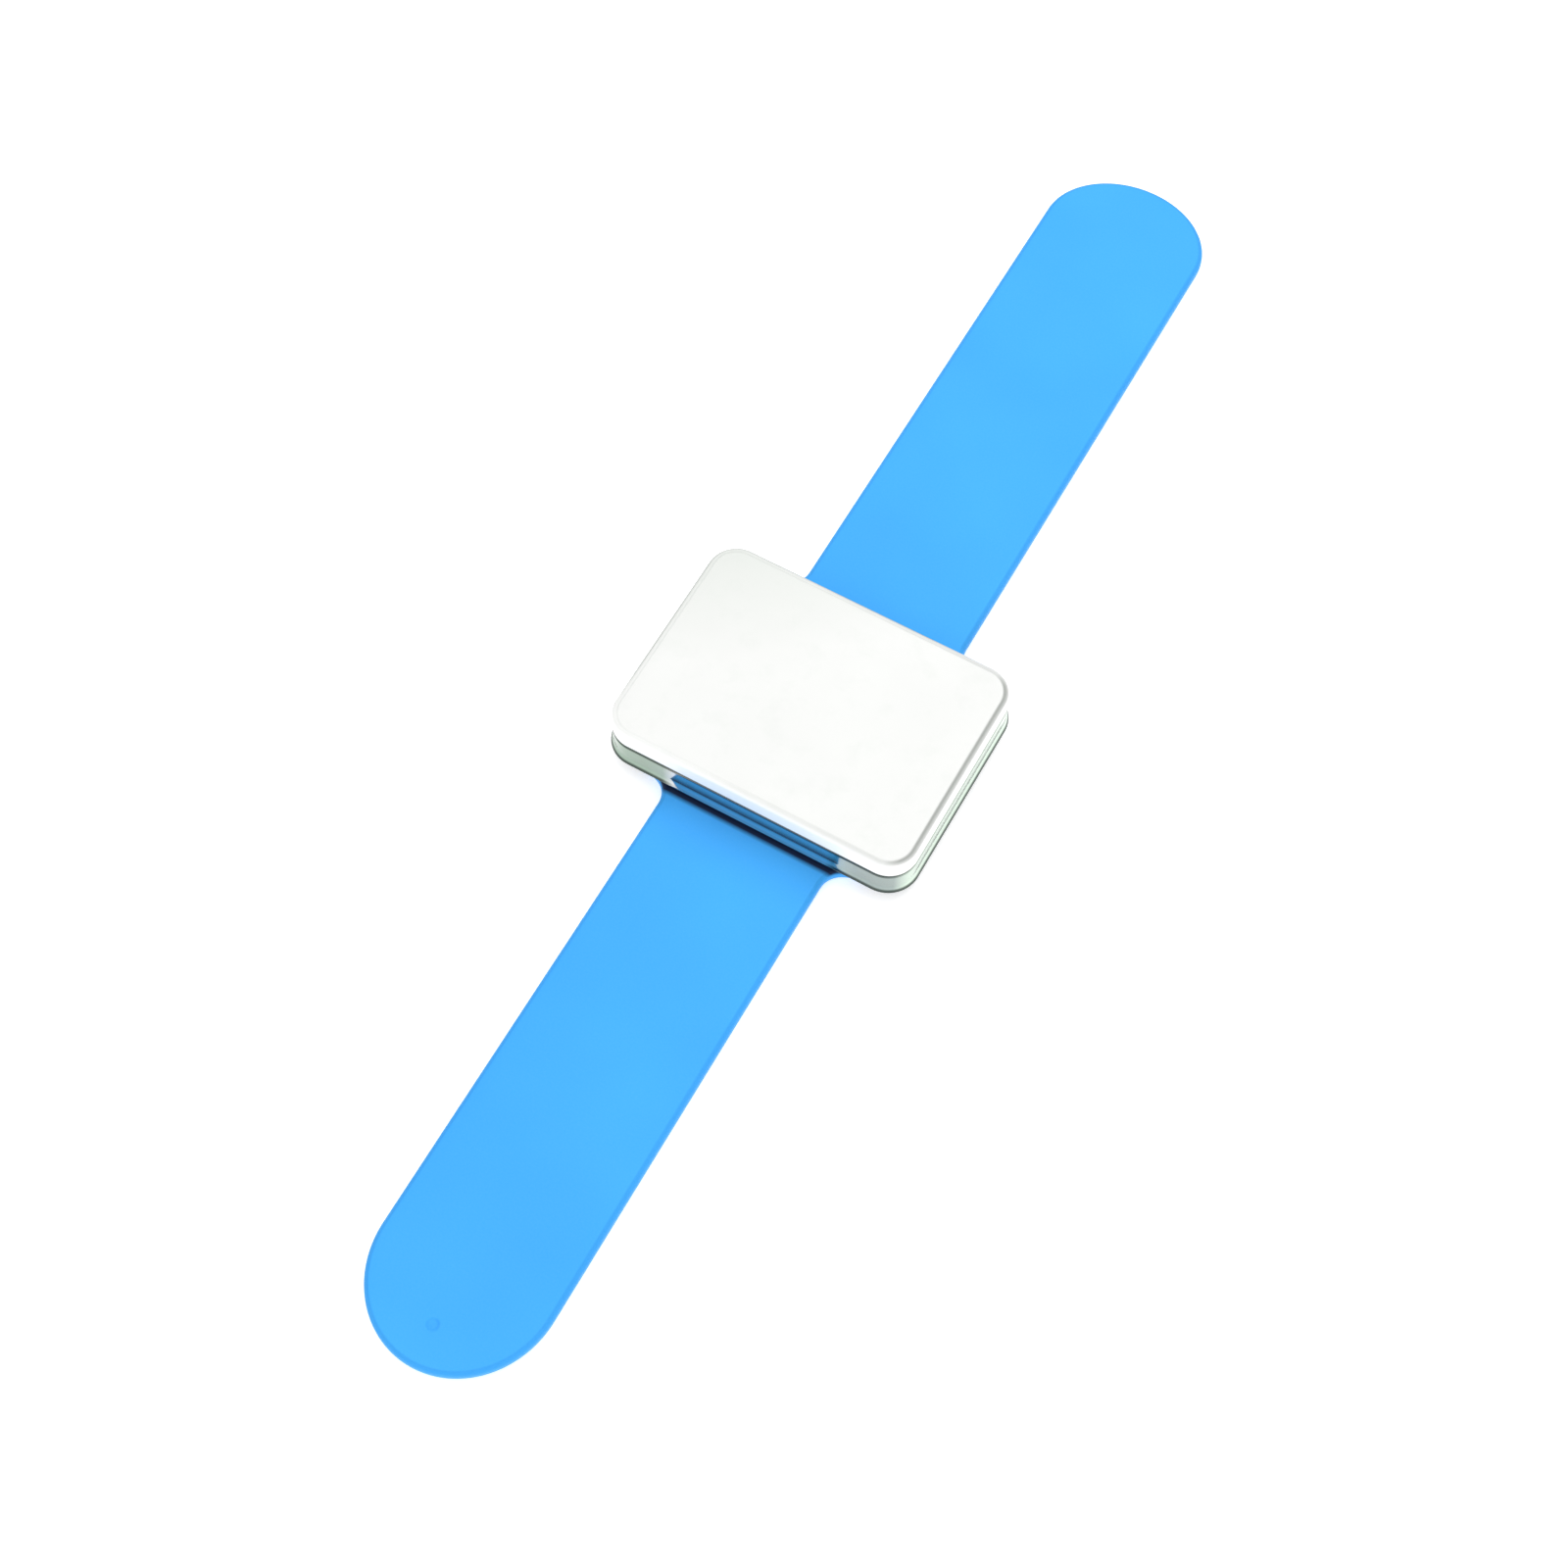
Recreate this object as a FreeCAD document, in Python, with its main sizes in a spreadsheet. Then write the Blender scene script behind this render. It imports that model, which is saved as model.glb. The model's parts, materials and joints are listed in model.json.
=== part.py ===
import FreeCAD, Part
import math
import os
import re

import Sketcher
from FreeCAD import Placement, Rotation, Vector

# Magnetic pin holder for the wrist: a pressed metal case with magnets inside it, held by an
# adhesive pad on a silicone slap band that has a bistable spring-steel strip inside.
#
# Frame: millimetres, +Z up. The origin is at the middle of the case's footprint, on the band's
# wrist side (Z = 0). The band runs along Y and the long side of the case runs along X. The front
# arm of the band goes to -Y and the longer rear arm to +Y.
#
# The band is drawn flat. Its sleeve is one moulding and its strip is one piece of steel. Both are
# cut across at each hinge line into short links, so that the two arms can curl round a wrist.

DIMENSIONS = {
    # silicone sleeve
    "band_width": 30.0,
    "band_thick": 2.3,
    "front_reach": 119.5,  # from the origin to the front tip
    "rear_reach": 128.5,  # from the origin to the rear tip
    "front_end_depth": 16.0,  # half-ellipse that ends the front arm
    "rear_end_depth": 12.5,  # half-ellipse that ends the rear arm
    "band_rim_radius": 0.9,
    "pad_width": 42.0,  # widening under the case
    "pad_front": 19.5,
    "pad_rear": 22.5,
    "pad_fillet": 4.0,
    "gate_radius": 0.9,  # round mark of the moulding gate near the front tip
    "gate_depth": 0.35,
    "gate_from_tip": 6.7,
    # hinge lines
    "centre_half": 21.5,  # from the origin to the first hinge line of each arm
    "link_pitch": 8.0,
    "hinge_bend": 27.0,  # largest bend of any hinge, in degrees
    "hinge_gap": 0.32,  # from a hinge line to each link, at the band's mid-plane
    "slab_margin": 1.0,  # how far the cutting slabs stand above and below the band
    # spring strip
    "strip_width": 24.0,
    "strip_thick": 0.25,
    "strip_inset": 4.5,  # from the sleeve's tips to the strip's ends
    "strip_corner": 9.0,
    "strip_clearance": 0.05,
    "strip_gap": 0.05,  # from a hinge line to each strip link
    # case
    "case_length": 55.0,
    "case_width": 40.0,
    "case_corner": 5.0,
    "sheet_thick": 0.4,
    "base_depth": 5.25,
    "bead_outset": 0.5,
    "bead_thick": 0.7,
    "bead_roll": 0.315,
    "neck_rise": 2.4,
    "neck_clearance": 0.1,
    "seam_gap": 0.15,
    "lid_depth": 3.55,
    "lid_shoulder": 0.9,
    "panel_inset": 1.1,
    "panel_rise": 0.15,
    # inside and under the case
    "adhesive_length": 34.0,
    "adhesive_width": 28.0,
    "adhesive_thick": 0.55,
    "adhesive_corner": 2.0,
    "magnet_length": 23.0,
    "magnet_width": 32.0,
    "magnet_thick": 4.0,
    "magnet_spacing": 1.0,
    "magnet_corner": 0.4,
    "magnet_chamfer": 0.2,
    "foam_length": 50.0,
    "foam_width": 35.0,
    "foam_thick": 3.9,
    "rest_clearance": 0.05,
}

FRONT_LINKS = 11
REAR_LINKS = 12

# Heights that several pieces share, as formulas over the cells.
CASE_BOTTOM = "(band_thick + adhesive_thick)"
BASE_TOP = "(band_thick + adhesive_thick + base_depth)"
LID_BOTTOM = "(band_thick + adhesive_thick + base_depth + seam_gap)"
FLOOR_TOP = "(band_thick + adhesive_thick + sheet_thick)"
BEND_RELIEF = "((band_thick / 2 + slab_margin) * tan(hinge_bend * 1deg / 2))"

document = FreeCAD.newDocument("wrist_pin_holder")


def make_sheet():
    """The driving dimensions, one named cell to a row."""
    cells = document.addObject("Spreadsheet::Sheet", "Dimensions")
    for row, (name, number) in enumerate(DIMENSIONS.items(), start=1):
        cells.set(f"A{row}", name)
        cells.set(f"B{row}", str(number))
        cells.setAlias(f"B{row}", name)
    document.recompute()
    return cells


def from_sheet(formula):
    """The formula with each dimension's name written as a cell of the sheet."""

    def cell(found):
        word = found.group()
        return f"Dimensions.{word}" if word in DIMENSIONS else word

    return re.sub(r"[a-z_]+", cell, formula)


def bind(item, formulas):
    """Bind properties of an object to formulas over the sheet."""
    for prop, formula in formulas.items():
        item.setExpression(prop, from_sheet(formula))


# Part primitives and booleans


def centred_box(name, across, front, rear, low, thick):
    """A box centred on X that runs from front to rear along Y, and up from low by thick."""
    box = document.addObject("Part::Box", name)
    bind(
        box,
        {
            "Length": across,
            "Width": f"{rear} - {front}",
            "Height": thick,
            "Placement.Base.x": f"-({across}) / 2",
            "Placement.Base.y": front,
            "Placement.Base.z": low,
        },
    )
    return box


def ellipse_plate(name, depth, centre):
    """A band-thick elliptical plate, as wide as the band, that reaches depth along Y."""
    outline = document.addObject("Part::Ellipse", f"{name}Outline")
    depth_is_longer = DIMENSIONS[depth] > DIMENSIONS["band_width"] / 2
    if depth_is_longer:
        outline.Placement = Placement(Vector(), Rotation(Vector(0, 0, 1), 90))
        bind(outline, {"MajorRadius": depth, "MinorRadius": "band_width / 2"})
    else:
        bind(outline, {"MajorRadius": "band_width / 2", "MinorRadius": depth})
    bind(outline, {"Placement.Base.y": centre})
    plate = document.addObject("Part::Extrusion", name)
    plate.Base = outline
    plate.DirMode = "Custom"
    plate.Dir = Vector(0, 0, 1)
    plate.Solid = True
    bind(plate, {"LengthFwd": "band_thick"})
    return plate


def boolean(kind, name, base, tool):
    """A Part::Cut or Part::Common of two objects."""
    result = document.addObject(kind, name)
    result.Base = base
    result.Tool = tool
    return result


def fuse(name, shapes):
    """One solid from several that touch, with shared faces merged."""
    result = document.addObject("Part::MultiFuse", name)
    result.Shapes = shapes
    result.Refine = True
    return result


def fillet_edges(name, base, radius, wanted):
    """Round the base's edges for which wanted is true. The radius is a cell's name."""
    document.recompute()
    size = getattr(sheet, radius)
    result = document.addObject("Part::Fillet", name)
    result.Base = base
    edges = enumerate(base.Shape.Edges, start=1)
    result.Edges = [(number, size, size) for number, edge in edges if wanted(edge)]
    return result


# Sketches and PartDesign features


def origin_plane(body, role):
    """One of the body's own origin planes."""
    return next(item for item in body.Origin.OriginFeatures if item.Role == role)


def rounded_rectangle(body, name, across, along, corner, height):
    """A constrained sketch of a rectangle with round corners, centred on the Z axis."""
    sketch = body.newObject("Sketcher::SketchObject", name)
    sketch.AttachmentSupport = (origin_plane(body, "XY_Plane"), [""])
    sketch.MapMode = "FlatFace"
    bind(sketch, {"AttachmentOffset.Base.z": height})

    # A first guess of the right form. The constraints below give it its size.
    half_x, half_y, radius = 20.0, 15.0, 4.0
    turns = [(1, -1), (1, 1), (-1, 1), (-1, -1)]
    centres = [Vector(x * (half_x - radius), y * (half_y - radius), 0) for x, y in turns]
    outward = [Vector(0, -1, 0), Vector(1, 0, 0), Vector(0, 1, 0), Vector(-1, 0, 0)]
    for side in range(4):
        start = centres[side - 1] + outward[side] * radius
        finish = centres[side] + outward[side] * radius
        sketch.addGeometry(Part.LineSegment(start, finish), False)
    quarter_turn = math.pi / 2
    for side in range(4):
        circle = Part.Circle(centres[side], Vector(0, 0, 1), radius)
        arc = Part.ArcOfCircle(circle, (side - 1) * quarter_turn, side * quarter_turn)
        sketch.addGeometry(arc, False)

    for side in range(4):
        arc = side + 4
        direction = "Horizontal" if side % 2 == 0 else "Vertical"
        sketch.addConstraint(Sketcher.Constraint("Tangent", side, 2, arc, 1))
        sketch.addConstraint(Sketcher.Constraint("Tangent", arc, 2, (side + 1) % 4, 1))
        sketch.addConstraint(Sketcher.Constraint(direction, side))
    for arc in (4, 5, 6):
        sketch.addConstraint(Sketcher.Constraint("Equal", arc, arc + 1))
    sketch.addConstraint(Sketcher.Constraint("Symmetric", 4, 3, 6, 3, -1, 1))
    sizes = {
        "HalfAcross": (Sketcher.Constraint("DistanceX", -1, 1, 1, 1, half_x), f"({across}) / 2"),
        "HalfAlong": (Sketcher.Constraint("DistanceY", -1, 1, 2, 1, half_y), f"({along}) / 2"),
        "Corner": (Sketcher.Constraint("Radius", 4, radius), corner),
    }
    for label, (constraint, formula) in sizes.items():
        index = sketch.addConstraint(constraint)
        sketch.renameConstraint(index, label)
        bind(sketch, {f"Constraints.{label}": formula})
    return sketch


def pad(body, name, profile, length):
    """Add material upwards from a sketch."""
    feature = body.newObject("PartDesign::Pad", name)
    feature.Profile = (profile, [""])
    bind(feature, {"Length": length})
    return feature


def pocket(body, name, profile, depth, upwards):
    """Cut up or down from a sketch."""
    feature = body.newObject("PartDesign::Pocket", name)
    feature.Profile = (profile, [""])
    feature.Reversed = upwards
    bind(feature, {"Length": depth})
    return feature


def dress(kind, body, name, base, size, wanted):
    """A PartDesign Fillet or Chamfer on the base's edges for which wanted is true."""
    document.recompute()
    numbered = enumerate(base.Shape.Edges, start=1)
    edges = [f"Edge{number}" for number, edge in numbered if wanted(edge)]
    feature = body.newObject(kind, name)
    feature.Base = (base, edges)
    bind(feature, {"Radius" if kind.endswith("Fillet") else "Size": size})
    return feature


def lies_at(edge, height):
    """True for an edge that lies in the plane Z = height."""
    box = edge.BoundBox
    return abs(box.ZMin - height) < 1e-4 and abs(box.ZMax - height) < 1e-4


def is_level(edge):
    """True for an edge that lies in one horizontal plane."""
    return edge.BoundBox.ZLength < 1e-4


def rounded_plate(name, across, along, corner, low, thick):
    """A flat plate with round corners, as a body with one pad."""
    body = document.addObject("PartDesign::Body", name)
    outline = rounded_rectangle(body, f"{name}Outline", across, along, corner, low)
    pad(body, f"{name}Plate", outline, thick)
    return body


# The band


def sleeve_moulding():
    """The whole silicone sleeve, flat, with the hollow for the strip."""
    straight = centred_box(
        "SleeveStraight",
        "band_width",
        "(front_end_depth - front_reach)",
        "(rear_reach - rear_end_depth)",
        "0",
        "band_thick",
    )
    pad_under_case = centred_box(
        "SleevePad", "pad_width", "(-pad_front)", "pad_rear", "0", "band_thick"
    )
    front_end = ellipse_plate("FrontEnd", "front_end_depth", "front_end_depth - front_reach")
    rear_end = ellipse_plate("RearEnd", "rear_end_depth", "rear_reach - rear_end_depth")
    outline = fuse("SleeveOutline", [straight, pad_under_case, front_end, rear_end])

    half_width = sheet.band_width / 2

    def re_entrant(edge):
        box = edge.BoundBox
        upright = box.ZLength > sheet.band_thick / 2
        beside_pad = min(abs(box.YMin + sheet.pad_front), abs(box.YMin - sheet.pad_rear)) < 1e-4
        return upright and beside_pad and abs(abs(box.XMin) - half_width) < 1e-4

    flared = fillet_edges("SleeveFlare", outline, "pad_fillet", re_entrant)
    rounded = fillet_edges(
        "SleeveRim",
        flared,
        "band_rim_radius",
        lambda edge: lies_at(edge, 0) or lies_at(edge, sheet.band_thick),
    )

    gate = document.addObject("Part::Cylinder", "GateMark")
    bind(
        gate,
        {
            "Radius": "gate_radius",
            "Height": "2 * gate_depth",
            "Placement.Base.y": "gate_from_tip - front_reach",
            "Placement.Base.z": "band_thick - gate_depth",
        },
    )
    marked = boolean("Part::Cut", "SleeveMarked", rounded, gate)
    hollow = strip_plate("StripHollow", "strip_clearance")
    return boolean("Part::Cut", "SleeveMoulding", marked, hollow)


def strip_plate(name, margin):
    """The whole spring strip, grown by margin on every side."""
    body = rounded_plate(
        name,
        f"strip_width + 2 * {margin}",
        f"front_reach + rear_reach - 2 * strip_inset + 2 * {margin}",
        f"strip_corner + {margin}",
        f"(band_thick - strip_thick) / 2 - {margin}",
        f"strip_thick + 2 * {margin}",
    )
    bind(body, {"Placement.Base.y": "(rear_reach - front_reach) / 2"})
    return body


def link_slab(name, front, rear, front_relief, rear_relief):
    """The space one sleeve link may fill. Its hinged ends lean back towards the wrist side."""

    def inset(relief, side):
        return f"({relief} * (hinge_gap {side} {BEND_RELIEF}))"

    slab = document.addObject("Part::Wedge", name)
    slab.Placement = Placement(Vector(), Rotation(Vector(1, 0, 0), -90))
    bind(
        slab,
        {
            "Xmin": "-pad_width",
            "Xmax": "pad_width",
            "X2min": "-pad_width",
            "X2max": "pad_width",
            "Ymin": "-band_thick - slab_margin",
            "Ymax": "slab_margin",
            "Zmin": f"{front} + {inset(front_relief, '-')}",
            "Zmax": f"{rear} - {inset(rear_relief, '-')}",
            "Z2min": f"{front} + {inset(front_relief, '+')}",
            "Z2max": f"{rear} - {inset(rear_relief, '+')}",
        },
    )
    return slab


def make_link(part_name, front, rear, front_relief, rear_relief):
    """The stretch of sleeve and of strip between two places along Y, as two sub-parts."""
    slab = link_slab(f"{part_name}_slab", front, rear, front_relief, rear_relief)
    sleeve_link = boolean("Part::Common", f"sleeve_{part_name}", sleeve, slab)
    strip_slab = centred_box(
        f"{part_name}_strip_slab",
        "pad_width",
        f"({front} + {front_relief} * strip_gap)",
        f"({rear} - {rear_relief} * strip_gap)",
        "-slab_margin",
        "band_thick + 2 * slab_margin",
    )
    strip_link = boolean("Part::Common", f"strip_{part_name}", strip, strip_slab)
    return [sleeve_link, strip_link]


def arm_links(arm, count, away, reach):
    """The links of one arm, counted from the case to the tip. away is -1 for the front arm."""
    made = []
    for number in range(1, count + 1):
        near = f"({away} * (centre_half + {number - 1} * link_pitch))"
        is_tip = number == count
        far = f"({away} * {reach})" if is_tip else f"({away} * (centre_half + {number} * link_pitch))"
        far_relief = 0 if is_tip else 1
        name = f"{arm}_tip" if is_tip else f"{arm}_{number:02d}"
        if away < 0:
            made += make_link(name, far, near, far_relief, 1)
        else:
            made += make_link(name, near, far, 1, far_relief)
    return made


# The case and what it holds


def case_base():
    """The pressed tray: rolled bead at its foot, upright wall, and a neck that enters the lid."""
    body = document.addObject("PartDesign::Body", "case_base")
    foot = rounded_rectangle(
        body,
        "BeadOutline",
        "case_length + 2 * bead_outset",
        "case_width + 2 * bead_outset",
        "case_corner + bead_outset",
        CASE_BOTTOM,
    )
    bead = pad(body, "Bead", foot, "bead_thick")
    dress("PartDesign::Fillet", body, "BeadRoll", bead, "bead_roll", is_level)
    wall_outline = rounded_rectangle(
        body, "WallOutline", "case_length", "case_width", "case_corner", CASE_BOTTOM
    )
    pad(body, "Wall", wall_outline, "base_depth")
    neck_step = "(sheet_thick + neck_clearance)"
    neck_outline = rounded_rectangle(
        body,
        "NeckOutline",
        f"case_length - 2 * {neck_step}",
        f"case_width - 2 * {neck_step}",
        f"case_corner - {neck_step}",
        BASE_TOP,
    )
    pad(body, "Neck", neck_outline, "neck_rise")
    inner_step = f"({neck_step} + sheet_thick)"
    hollow_outline = rounded_rectangle(
        body,
        "HollowOutline",
        f"case_length - 2 * {inner_step}",
        f"case_width - 2 * {inner_step}",
        f"case_corner - {inner_step}",
        f"{BASE_TOP} + neck_rise",
    )
    hollow_depth = "base_depth + neck_rise - sheet_thick"
    pocket(body, "Hollow", hollow_outline, hollow_depth, upwards=False)
    return body


def case_lid():
    """The pressed lid: short skirt, soft shoulder and a slightly raised flat panel."""
    body = document.addObject("PartDesign::Body", "case_lid")
    skirt_outline = rounded_rectangle(
        body, "SkirtOutline", "case_length", "case_width", "case_corner", LID_BOTTOM
    )
    skirt = pad(body, "Skirt", skirt_outline, "lid_depth")
    document.recompute()
    lid_top = skirt.Shape.BoundBox.ZMax
    dress(
        "PartDesign::Fillet",
        body,
        "Shoulder",
        skirt,
        "lid_shoulder",
        lambda edge: lies_at(edge, lid_top),
    )
    panel_outline = rounded_rectangle(
        body,
        "PanelOutline",
        "case_length - 2 * panel_inset",
        "case_width - 2 * panel_inset",
        "case_corner - panel_inset",
        f"{LID_BOTTOM} + lid_depth",
    )
    pad(body, "Panel", panel_outline, "panel_rise")
    inside_outline = rounded_rectangle(
        body,
        "InsideOutline",
        "case_length - 2 * sheet_thick",
        "case_width - 2 * sheet_thick",
        "case_corner - sheet_thick",
        LID_BOTTOM,
    )
    pocket(body, "Inside", inside_outline, "lid_depth - sheet_thick", upwards=True)
    return body


def foam_spacer():
    """The foam block on the case's floor, which presses the magnets up to the lid."""
    return centred_box(
        "foam_spacer",
        "foam_length",
        "(-foam_width / 2)",
        "(foam_width / 2)",
        f"{FLOOR_TOP} + rest_clearance",
        "foam_thick",
    )


def magnet(name, side):
    """One ferrite block with broken edges. side is -1 for the left one and 1 for the right."""
    body = document.addObject("PartDesign::Body", name)
    outline = rounded_rectangle(
        body,
        f"{name}_outline",
        "magnet_length",
        "magnet_width",
        "magnet_corner",
        f"{FLOOR_TOP} + foam_thick + 2 * rest_clearance",
    )
    block = pad(body, f"{name}_block", outline, "magnet_thick")
    dress("PartDesign::Chamfer", body, f"{name}_edges", block, "magnet_chamfer", is_level)
    bind(body, {"Placement.Base.x": f"{side} * (magnet_length + magnet_spacing) / 2"})
    return body


def adhesive_pad():
    """The adhesive pad between the band and the case."""
    return rounded_plate(
        "adhesive_pad",
        "adhesive_length",
        "adhesive_width",
        "adhesive_corner",
        "band_thick",
        "adhesive_thick",
    )


def check_document():
    """Stop if any object failed, or if a cut took nothing away."""
    for item in document.Objects:
        if "Invalid" in item.State or "Error" in item.State:
            raise RuntimeError(f"{item.Name} failed: {item.State}")
        if item.TypeId == "PartDesign::Pocket":
            before = item.BaseFeature.Shape.Volume
        elif item.TypeId == "Part::Cut":
            before = item.Base.Shape.Volume
        else:
            continue
        if item.Shape.Volume >= before:
            raise RuntimeError(f"{item.Name} cuts nothing")


def write_parts(sub_parts):
    """Check each sub-part's shape, then write one STEP file for each."""
    for sub_part in sub_parts:
        shape = sub_part.Shape
        if shape.isNull() or not shape.isValid() or len(shape.Solids) != 1:
            raise RuntimeError(f"{sub_part.Label} is not one valid solid")
    os.makedirs("parts", exist_ok=True)
    for sub_part in sub_parts:
        sub_part.Shape.exportStep(f"parts/{sub_part.Label}.step")


sheet = make_sheet()
sleeve = sleeve_moulding()
strip = strip_plate("StripWhole", "0")
parts = make_link("centre", "(-centre_half)", "centre_half", 1, 1)
parts += arm_links("front", FRONT_LINKS, -1, "front_reach")
parts += arm_links("rear", REAR_LINKS, 1, "rear_reach")
parts += [case_base(), case_lid(), foam_spacer()]
parts += [magnet("magnet_left", -1), magnet("magnet_right", 1), adhesive_pad()]
for part in parts:
    part.Label = part.Name
document.recompute()
check_document()
write_parts(parts)
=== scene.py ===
"""Magnetic pin holder for the wrist: the visual model, its materials, and a plain studio.

The band's sleeve and strip are drawn as skins, cut half-way between hinge lines. Each skin spans
one hinge, and the reach of its blend past both of its ends is worked out, but no blend is applied.
The case's two shells are swept round its outline. Lengths are in metres.
"""

import json
import math

import bmesh
import bpy
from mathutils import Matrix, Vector, noise

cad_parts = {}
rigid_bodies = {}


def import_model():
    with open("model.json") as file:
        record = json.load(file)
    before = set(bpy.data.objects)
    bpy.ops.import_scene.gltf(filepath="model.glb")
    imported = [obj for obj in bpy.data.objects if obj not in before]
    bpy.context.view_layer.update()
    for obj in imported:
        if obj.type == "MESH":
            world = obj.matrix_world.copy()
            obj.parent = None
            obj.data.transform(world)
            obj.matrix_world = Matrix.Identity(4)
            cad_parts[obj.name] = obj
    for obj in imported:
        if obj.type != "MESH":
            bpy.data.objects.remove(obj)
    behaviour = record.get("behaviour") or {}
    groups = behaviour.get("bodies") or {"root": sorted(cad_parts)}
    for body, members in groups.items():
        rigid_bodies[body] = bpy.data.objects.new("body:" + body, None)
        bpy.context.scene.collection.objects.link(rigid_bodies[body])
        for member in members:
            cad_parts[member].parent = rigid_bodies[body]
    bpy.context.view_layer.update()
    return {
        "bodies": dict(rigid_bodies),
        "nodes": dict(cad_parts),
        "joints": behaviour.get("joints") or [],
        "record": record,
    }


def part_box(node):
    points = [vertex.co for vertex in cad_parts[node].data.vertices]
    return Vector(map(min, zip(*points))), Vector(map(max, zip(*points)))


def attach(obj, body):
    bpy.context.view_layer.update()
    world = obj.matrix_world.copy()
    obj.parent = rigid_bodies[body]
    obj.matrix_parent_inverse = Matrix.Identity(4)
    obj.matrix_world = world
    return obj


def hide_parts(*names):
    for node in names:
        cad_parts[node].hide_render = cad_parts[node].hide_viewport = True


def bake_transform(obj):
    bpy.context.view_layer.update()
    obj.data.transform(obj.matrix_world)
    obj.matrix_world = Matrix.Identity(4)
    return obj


MM = 0.001
TOLERANCE = 0.001 * MM

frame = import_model()


# What the frame says


def hinge_chain(arm):
    """The arm's hinges from the case to the tip, each with its place along Y and its full bend."""
    joints = {joint["name"]: joint for joint in frame["joints"]}
    driver = joints[f"{arm}_curl"]
    full_bend = math.radians(driver["range_deg"][1])
    chain = [(driver, full_bend)]
    for coupling in frame["record"]["behaviour"]["couplings"]:
        if coupling["follows"] == driver["name"]:
            chain.append((joints[coupling["joint"]], full_bend * coupling["ratio"]))
    return [
        {
            "along": abs(joint["pos_m"][1]),
            "bend": bend,
            "parent": joint["parent"],
            "child": joint["child"],
        }
        for joint, bend in chain
    ]


def widest_reach(node, half_width, side):
    """How far along one arm a CAD node keeps a given half width."""
    corners = frame["nodes"][node].data.vertices
    return max(side * v.co.y for v in corners if abs(v.co.x) > half_width - TOLERANCE)


ARMS = {"front": -1, "rear": 1}
CHAINS = {arm: hinge_chain(arm) for arm in ARMS}
PITCH = CHAINS["front"][1]["along"] - CHAINS["front"][0]["along"]

BAND_LOW, BAND_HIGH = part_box("sleeve_centre")
BAND_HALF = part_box("sleeve_front_05")[1].x
PAD_HALF = BAND_HIGH.x
PAD_END = {
    "front": widest_reach("sleeve_centre", PAD_HALF, -1),
    "rear": widest_reach("sleeve_rear_01", PAD_HALF, 1),
}
BAND_REACH = {arm: widest_reach(f"sleeve_{arm}_tip", 0, side) for arm, side in ARMS.items()}
TIP_START = {arm: widest_reach(f"sleeve_{arm}_tip", BAND_HALF, side) for arm, side in ARMS.items()}

STRIP_LOW, STRIP_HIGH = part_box("strip_centre")
STRIP_REACH = {arm: widest_reach(f"strip_{arm}_tip", 0, side) for arm, side in ARMS.items()}

RIM_RADIUS = 0.9 * MM  # the rounding of the sleeve's long edges
RIM_STEPS = 6
PAD_FILLET = 4.0 * MM
PAD_SLOPE = math.radians(70)  # the outline's steepest turn between the pad and the band
RIB_SPACING = 0.66 * MM
TIP_RIBS = 150
PAD_STEPS = 14
CORNER_STEPS = 16
COLUMNS = 12
TONGUE = 0.6 * MM  # how far a skin reaches into the next one
TONGUE_STEP = 0.01 * MM  # how far its tongue lies inside that one's faces
STRIP_CORNER = 9.0 * MM

GATE_RADIUS = 0.9 * MM
GATE_DEPTH = 0.35 * MM
GATE_FROM_TIP = 6.7 * MM
GATE_SOFTNESS = 0.3 * MM

ARC_SHARE = 0.951  # fits a smoothstep blend to a circular arc through the hinge lines
FIRST_SHARE = 1.28  # the same at an arm's first seam, where the curve starts from flat


# Meshes


def new_piece(name, points, faces, material, values):
    """A smooth closed mesh. values holds named lists with one number for each point."""
    mesh = bpy.data.meshes.new(name)
    mesh.from_pydata(points, [], faces)
    closed = bmesh.new()
    closed.from_mesh(mesh)
    bmesh.ops.recalc_face_normals(closed, faces=closed.faces)
    closed.to_mesh(mesh)
    closed.free()
    mesh.shade_smooth()
    rest = mesh.attributes.new("rest", "FLOAT_VECTOR", "POINT")
    rest.data.foreach_set("vector", [c for point in points for c in point])
    for label, numbers in values.items():
        layer = mesh.attributes.new(label, "FLOAT", "POINT")
        layer.data.foreach_set("value", numbers)
    mesh.materials.append(material)
    mesh.update()
    piece = bpy.data.objects.new(name, mesh)
    bpy.context.scene.collection.objects.link(piece)
    return piece


def loft(loops):
    """Points and faces of a closed tube through loops of equal length, capped at both ends."""
    count = len(loops[0])
    points = [point for loop in loops for point in loop]
    faces = [tuple(range(count))[::-1]]
    for row in range(len(loops) - 1):
        for k in range(count):
            a, b = row * count + k, row * count + (k + 1) % count
            faces.append((a, b, b + count, a + count))
    last = (len(loops) - 1) * count
    faces.append(tuple(range(last, last + count)))
    return points, faces


def merge_points(points, faces, values):
    """The same mesh with points that share a place made one."""
    places, kept, index = {}, [], []
    for number, point in enumerate(points):
        key = tuple(round(c / TOLERANCE) for c in point)
        if key not in places:
            places[key] = len(kept)
            kept.append(number)
        index.append(places[key])
    merged = []
    for face in faces:
        ring = [index[k] for k in face]
        ring = [k for at, k in enumerate(ring) if k != ring[at - 1]]
        if len(set(ring)) == len(ring) >= 3:
            merged.append(tuple(ring))
    return [points[k] for k in kept], merged, [values[k] for k in kept]


def mark_sharp(piece, places):
    """Break the shading at the edges that lie across the band at given places along Y."""
    mesh = piece.data
    for edge in mesh.edges:
        first, second = (mesh.vertices[k].co.y for k in edge.vertices)
        level = abs(first - second) < TONGUE_STEP / 2
        edge.use_edge_sharp = level and any(abs(first - y) < TONGUE_STEP for y in places)


# The outline of the band, as ribs from the case to a tip.
# A rib is (half width, place along the arm, outward normal across, outward normal along).


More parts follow.
